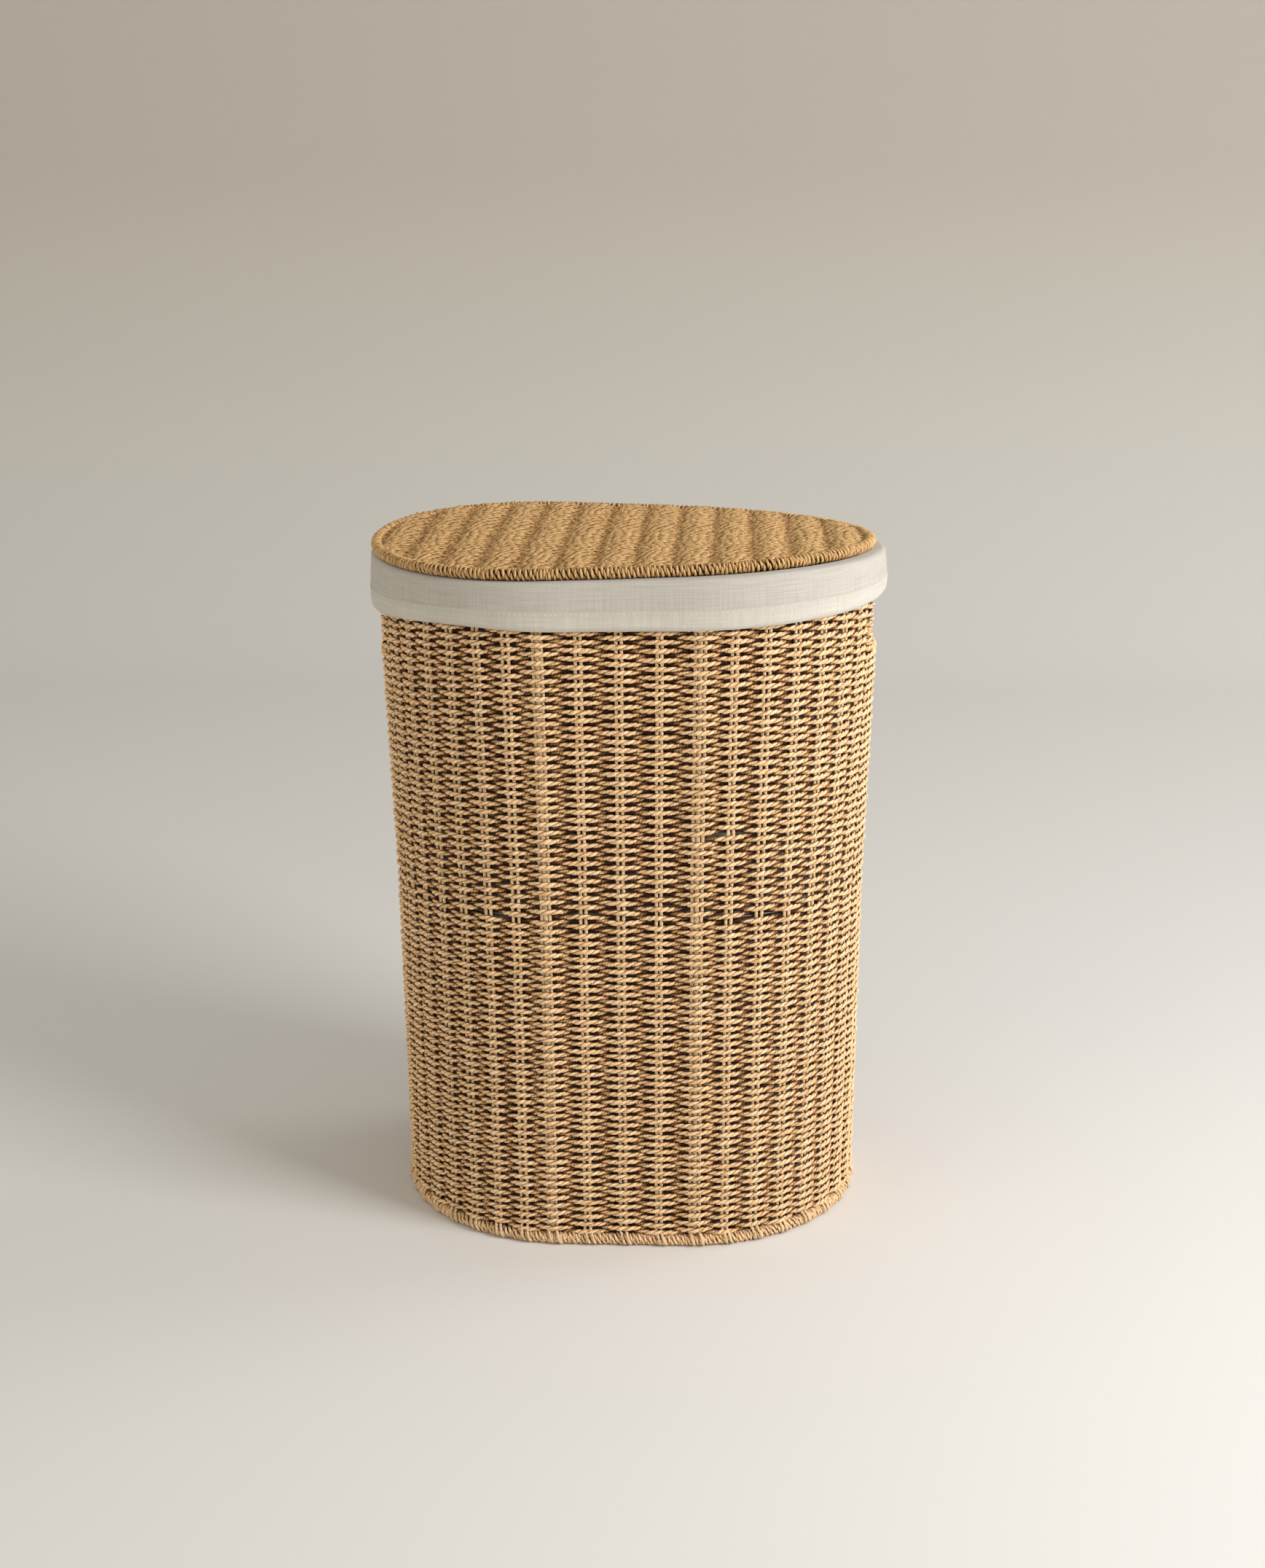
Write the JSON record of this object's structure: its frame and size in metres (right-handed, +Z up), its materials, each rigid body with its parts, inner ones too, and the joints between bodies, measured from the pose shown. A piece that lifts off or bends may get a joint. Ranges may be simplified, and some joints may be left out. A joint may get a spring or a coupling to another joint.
{
  "type": "woven laundry basket",
  "caption": "Tall oval laundry basket woven from twisted paper rope on a wire frame, with hand holes, a lift-out cloth liner cuffed over the rim and a loose woven lid.",
  "frame": {"origin": "on the floor, under the middle of the oval", "axes": "+X along the basket's length from one hand hole to the other, +Y from front to back, +Z up"},
  "size_m": [0.4512, 0.3472, 0.6063],
  "materials": {
    "paper_rope": "matte natural twisted kraft paper rope",
    "frame_wire": "plain drawn steel wire",
    "liner_cloth": "warm white linen and cotton cloth",
    "sewing_thread": "warm white thread"
  },
  "bodies": {
    "basket": {"base_ring_wire": "frame_wire", "base_ring_wrap": "paper_rope", "base_cross_wires": "frame_wire", "base_weave": "paper_rope", "corner_posts": "frame_wire", "stake_cords": "paper_rope", "mid_hoop_wire": "frame_wire", "wall_weave_lower": "paper_rope", "wall_weave_upper": "paper_rope", "hand_hole_binding_right": "paper_rope", "hand_hole_binding_left": "paper_rope", "rim_wire": "frame_wire", "rim_wrap": "paper_rope"},
    "liner": {"liner_bottom": "liner_cloth", "liner_bottom_seam": "liner_cloth", "liner_side": "liner_cloth", "liner_side_seam": "liner_cloth", "liner_rim_fold": "liner_cloth", "liner_cuff": "liner_cloth", "cuff_hem": "liner_cloth", "hem_stitching": "sewing_thread"},
    "lid": {"lid_ring_wire": "frame_wire", "lid_ring_wrap": "paper_rope", "lid_cross_wires": "frame_wire", "lid_weave": "paper_rope"}
  },
  "joints": [
    {"name": "liner_lift", "type": "slide", "parent": "basket", "child": "liner", "axis": [0, 0, 1], "range_m": [0, 0.62]},
    {"name": "lid_lift", "type": "slide", "parent": "liner", "child": "lid", "axis": [0, 0, 1], "range_m": [0, 0.3]}
  ]
}
